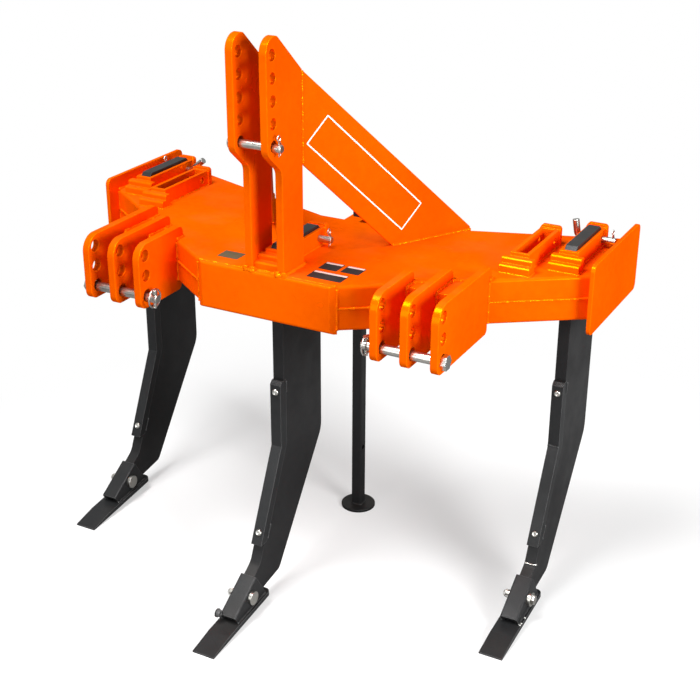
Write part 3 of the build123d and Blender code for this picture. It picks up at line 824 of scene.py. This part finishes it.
runs = []
for name in POCKETS:
    low, high = box_mm("pocket_" + name)
    x, pad_half = (low.x + high.x) / 2, (high.x - low.x) / 2
    tube_back = high.y - EAR_T
    tube_front = tube_back - TUBE_LONG
    pad = [(TUBE_HALF, tube_front), (pad_half, tube_front), (pad_half, low.y)]
    left_edge = [(x - out, back, 0) for out, back in pad]
    right_edge = [(x + out, back, 0) for out, back in pad]
    runs.append(left_edge + right_edge[::-1])
    for wall in (x - TUBE_HALF, x + TUBE_HALF):
        runs.append([(wall, tube_front, 0), (wall, tube_back, 0)])
        runs.append(beside(wall, tube_back, REAR_RUN))
        runs.append(beside(wall, tube_front, FRONT_RUN))
        runs.append([(wall, tube_front, BEAM_UNDER), (wall, tube_back, BEAM_UNDER)])
    runs.append([(x - EAR_HALF, high.y, 0), (x + EAR_HALF, high.y, 0)])
weld_piece("pocket_welds", runs, radius_mm=3.0)

# %% [markdown]
# ### Stand
# The sleeve is welded to the rear of the beam, and the stand's foot to its leg. The leg slides, so
# the weld at its foot is a piece of its own that rides on the stand. In one piece with the sleeve's
# runs it would stay behind in the air.

# %% Stand welds
SLEEVE_RUN = [(0, -6), (0, -98)]
weld_piece("sleeve_welds", both_sides(beside(SLEEVE_HALF, REAR_BACK, SLEEVE_RUN)), radius_mm=3.5)

low, high = box_mm("stand_leg")
foot_top = box_mm("stand_foot")[1].z
leg = [(high.x, low.y), (high.x, high.y), (low.x, high.y), (low.x, low.y)]
runs = [[(x, back, foot_top) for x, back in leg + leg[:1]]]
weld_piece("stand_foot_weld", runs, radius_mm=2.6, material=stand_black, body="stand")

# %% [markdown]
# ### Shoes and guards
# The shoes are welded down to the points along their cheeks, and the guards have short runs at
# their ends. The right guard is made of two lengths, joined by a run across it. The three shanks
# are alike, so one set of runs is given from a shank's front face and laid on each.

# %% Shoe and guard welds
SHANKS = ("left", "centre", "right")
SHANK_WIDE = 178
SHOE_HALF = 22
GUARD_HALF = 14
GUARD_PROUD = 16
SHOE_RUN = [(-120, -803.9), (-242, -816.7)]
GUARD_RUNS = ([(10, -290), (10, -318)], [(-74, -636), (-88, -668)])
GUARD_JOINT_UP = -452


def shank_front(name):
    """Where the upper front face of a shank stands: across, and back from the nose."""
    low, high = box_mm("shank_" + name)
    return (low.x + high.x) / 2, high.y - SHANK_WIDE


shoe_runs = []
guard_runs = []
for name in SHANKS:
    x, front = shank_front(name)
    for side in (-1, 1):
        shoe_runs.append(beside(x + side * SHOE_HALF, front, SHOE_RUN))
        guard_runs += [beside(x + side * GUARD_HALF, front, run) for run in GUARD_RUNS]
x, front = shank_front("right")
guard_runs.append([(x + side * GUARD_HALF, front - GUARD_PROUD, GUARD_JOINT_UP) for side in (-1, 1)])
weld_piece("shoe_welds", shoe_runs, radius_mm=2.4, material=wear_black)
weld_piece("guard_welds", guard_runs, radius_mm=2.2, material=wear_black)

# %% [markdown]
# ### Spatter
# A wire welder throws off drops of molten steel that stick where they land. A bright bead crosses
# the right shank at its throat, and three drops lie beside its shoe. A drop could be a small
# sphere, but a very short run has the same uneven look as the welds around it.

# %% Bright spatter
# Places as (across from the shank's middle, behind its front face, up).
THROAT_BEAD = ((-13, -125, -722), (13, -125, -721))
THROAT_TAIL = ((13, -125, -721), (15, -121, -721))
DROPS = ((27, -215, -813), (27, -237, -815), (26, -244, -816))
DROP_HALF = 1.5

runs = []
for bead in (THROAT_BEAD, THROAT_TAIL):
    runs.append([(x + out, front + behind, up) for out, behind, up in bead])
for out, behind, up in DROPS:
    runs.append(beside(x + out, front + behind, [(DROP_HALF, up), (-DROP_HALF, up)]))
weld_piece("bright_spatter", runs, radius_mm=2.3, material=zinc)

# %% [markdown]
# ## Turned and cut hardware
# Bolt heads, rings and rolled pins are round, so each is drawn as the outline of half its section
# and spun round its axis, as on a lathe. A cylinder with a bevel could do for a plain head, but not
# for one with a dome and a socket. A nut has flats, so it starts as a short prism with six sides,
# and its corners are broken by a bevel.

# %% Turned pieces
TURN_STEPS = 28
SAME_PLACE = 1e-6


def stand_on(mesh, verts, place, axis, lift=0.0):
    """Moves vertices made round the Z axis to a place in millimetres, with Z along an axis."""
    turn = Vector(axis).to_track_quat("Z", "Y").to_matrix().to_4x4()
    raised = Matrix.Translation((0, 0, lift * MM))
    bmesh.ops.transform(mesh, matrix=Matrix.Translation(spot(*place)) @ turn @ raised, verts=verts)


def add_turned(mesh, outline, place, axis, steps=TURN_STEPS):
    """Spins an outline of (radius, height) pairs in millimetres round an axis through a place."""
    before = set(mesh.verts)
    verts = [mesh.verts.new((radius * MM, 0, height * MM)) for radius, height in outline]
    edges = [mesh.edges.new(pair) for pair in zip(verts, verts[1:])]
    whole = {"angle": 2 * math.pi, "steps": steps, "use_merge": True}
    bmesh.ops.spin(mesh, geom=verts + edges, cent=(0, 0, 0), axis=(0, 0, 1), **whole)
    bmesh.ops.remove_doubles(mesh, verts=[v for v in mesh.verts if v not in before], dist=SAME_PLACE)
    stand_on(mesh, [v for v in mesh.verts if v not in before], place, axis)


# %% [markdown]
# ### Guard bolts
# Two bright button heads hold each guard to its shank, one near each end. A button head has a low
# dome with a socket in it for the key, and one turned outline holds both. Below its bend the guard
# slopes forward, and the lower bolt leans with it.

# %% Guard bolts
SOCKET = [(0, 2.2), (3.0, 2.2), (3.4, 4.6)]
DOME = [(5.6, 4.1), (7.6, 2.6), (8.4, 0.6), (8.4, -0.6), (0, -0.6)]
SHIN_SLOPE = 124 / 267
BEND_UP = -455
UPPER_BOLT_UP = -312
LOWER_BOLT_UP = -648

mesh = bmesh.new()
for name in SHANKS:
    x, front = shank_front(name)
    face = front - GUARD_PROUD
    lower_face = face + SHIN_SLOPE * (LOWER_BOLT_UP - BEND_UP)
    add_turned(mesh, SOCKET + DOME, (x, face, UPPER_BOLT_UP), (0, -1, 0))
    add_turned(mesh, SOCKET + DOME, (x, lower_face, LOWER_BOLT_UP), (0, -1, SHIN_SLOPE))
finished_piece("guard_bolt_heads", mesh, zinc, "frame")

# %% [markdown]
# ### Hardware at the shoes
# A bolt through each shoe is held at its left end by a wire ring. A ring is a turned piece too: its
# outline is the wire's own round section. The right shoe's bolt has a nut on its other end. The
# centre shoe has a short dowel through the lower corner of its left cheek, with a rolled end.

# %% Rings and nut
RING_RADIUS = 9.0
RING_WIRE = 1.3
RING_SIDES = 7
RING_STEPS = 30
RING_AXIS = (0.25, -0.8, 0.45)
RING_INSIDE = 5
RING_AHEAD = 3
NUT_CORNER = 12.5
NUT_TALL = 8
NUT_SUNK = 0.3
NUT_BREAK = 1.1


def bolt_middle(low, high):
    """How far back and up the middle of a bolt lies."""
    return (low.y + high.y) / 2, (low.z + high.z) / 2


mesh = bmesh.new()
turns = [2 * math.pi * k / RING_SIDES for k in range(RING_SIDES)]
section = [(RING_RADIUS + RING_WIRE * math.cos(a), RING_WIRE * math.sin(a)) for a in turns]
for name in SHANKS:
    low, high = box_mm("shoe_bolt_" + name)
    back, up = bolt_middle(low, high)
    place = (low.x + RING_INSIDE, back - RING_AHEAD, up)
    add_turned(mesh, section + section[:1], place, RING_AXIS, steps=RING_STEPS)
finished_piece("shoe_bolt_rings", mesh, zinc, "frame")

low, high = box_mm("shoe_bolt_right")
back, up = bolt_middle(low, high)
mesh = bmesh.new()
corner = {"radius1": NUT_CORNER * MM, "radius2": NUT_CORNER * MM}
bmesh.ops.create_cone(mesh, cap_ends=True, segments=6, depth=NUT_TALL * MM, **corner)
rims = [e for e in mesh.edges if abs(e.verts[0].co.z - e.verts[1].co.z) < SAME_PLACE]
cut = {"offset": NUT_BREAK * MM, "offset_type": "OFFSET", "segments": 1, "profile": 0.5, "material": -1}
bmesh.ops.bevel(mesh, geom=rims, affect="EDGES", **cut)
stand_on(mesh, mesh.verts, (high.x - NUT_SUNK, back, up), (1, 0, 0), lift=NUT_TALL / 2)
finished_piece("shoe_bolt_nut", mesh, zinc, "frame", smooth=False)

# %% Dowel
ROLLED_END = [(8.5, -6), (9.0, 0), (10.5, 1.0), (11.0, 3.0), (10.5, 5.0), (8.5, 6.0), (6.0, 5.6)]
BORE = [(4.5, 4.5), (4.5, -6)]
DOWEL_SUNK = 0.5
DOWEL_BACK = -199
DOWEL_UP = -794

mesh = bmesh.new()
cheek = box_mm("shoe_centre")[0].x
add_turned(mesh, BORE[1:] + ROLLED_END + BORE, (cheek - DOWEL_SUNK, DOWEL_BACK, DOWEL_UP), (-1, 0, 0))
finished_piece("shoe_dowel", mesh, wear_black, "frame")

# %% [markdown]
# ## Small plates and a line
# Small blank plates lie on the beam's top, dark ones with a pale band and one of bare metal, and a
# thin white line frames an empty field on the brace. They could be painted on with a mask. Real
# ones have a thickness that catches light at its edge, so each is a sheet cut to an outline with
# round corners and raised by an extrusion.

# %% Flat pieces
CORNER_STEPS = 5
SHEET_SUNK = 0.2


def rounded_outline(wide, tall, corner):
    """Places round a rectangle with rounded corners, about its middle, in millimetres."""
    places = []
    for quarter, (x, y) in enumerate(((1, 1), (-1, 1), (-1, -1), (1, -1))):
        for k in range(CORNER_STEPS + 1):
            angle = math.pi / 2 * (quarter + k / CORNER_STEPS)
            middle = (x * (wide / 2 - corner), y * (tall / 2 - corner))
            places.append((middle[0] + corner * math.cos(angle), middle[1] + corner * math.sin(angle)))
    return places


def flat_piece(name, outlines, thick, place, along, across, material):
    """A thin sheet on a surface: the area in an outline, or between an outline and its hole."""
    along = Vector(along).normalized()
    across = Vector(across).normalized()
    out = along.cross(across)
    sunk = spot(*place) - out * SHEET_SUNK * MM
    mesh = bmesh.new()
    rims = []
    for outline in outlines:
        verts = [mesh.verts.new(sunk + (along * a + across * b) * MM) for a, b in outline]
        rims += [mesh.edges.new(pair) for pair in zip(verts, verts[1:] + verts[:1])]
    if len(outlines) == 2:
        bmesh.ops.bridge_loops(mesh, edges=rims)
    else:
        mesh.faces.new(verts)
    raised = bmesh.ops.extrude_face_region(mesh, geom=mesh.faces[:])["geom"]
    raised = [item for item in raised if isinstance(item, bmesh.types.BMVert)]
    bmesh.ops.translate(mesh, vec=out * (SHEET_SUNK + thick) * MM, verts=raised)
    finished_piece(name, mesh, material, "frame", smooth=False)


# %% Plates on the beam
ACROSS = (1, 0, 0)
BACKWARD = (0, 1, 0)
PLATE_T = 0.4
PLATE_CORNER = 2
BAND_T = 0.3
BAND_CORNER = 1
BAND_TALL = 8
BAND_MARGIN = 2
# Each plate's name, its middle across and back, its size across and back, and its finish.
PLATES = [
    ("plate_first", 113, 110, 46, 44, film_black),
    ("plate_second", 168, 111, 46, 42, film_black),
    ("plate_third", 134, 53, 86, 42, film_black),
    ("plate_left", -126, 66, 54, 40, plate_metal),
]
for name, x, back, wide, tall, material in PLATES:
    outline = rounded_outline(wide, tall, PLATE_CORNER)
    flat_piece(name, [outline], PLATE_T, (x, back, 0), ACROSS, BACKWARD, material)
    if material is film_black:
        band = rounded_outline(wide - 2 * BAND_MARGIN, BAND_TALL, BAND_CORNER)
        middle = (x, back + tall / 2 - BAND_TALL / 2 - BAND_MARGIN, PLATE_T)
        flat_piece(name + "_band", [band], BAND_T, middle, ACROSS, BACKWARD, film_pale)

# %% Line on the brace
LINE_WIDE = 354
LINE_TALL = 80
LINE_STROKE = 3.2
LINE_T = 0.3
LINE_CORNERS = (3, 1.5)
LINE_ALONG = 164.5
LINE_UP = 185
BRACE_FALL = math.radians(43.8)

down_slope = Vector((*along_brace, 0)) * math.cos(BRACE_FALL) - Vector((0, 0, math.sin(BRACE_FALL)))
up_slope = Vector((*-into_brace, 0)).cross(down_slope)
outline = rounded_outline(LINE_WIDE, LINE_TALL, LINE_CORNERS[0])
hole = rounded_outline(LINE_WIDE - 2 * LINE_STROKE, LINE_TALL - 2 * LINE_STROKE, LINE_CORNERS[1])
middle = by_brace(LINE_ALONG, 0, LINE_UP)
flat_piece("brace_line", [outline, hole], LINE_T, middle, down_slope, up_slope, film_white)
print("brace line:", LINE_WIDE, "by", LINE_TALL, "mm")
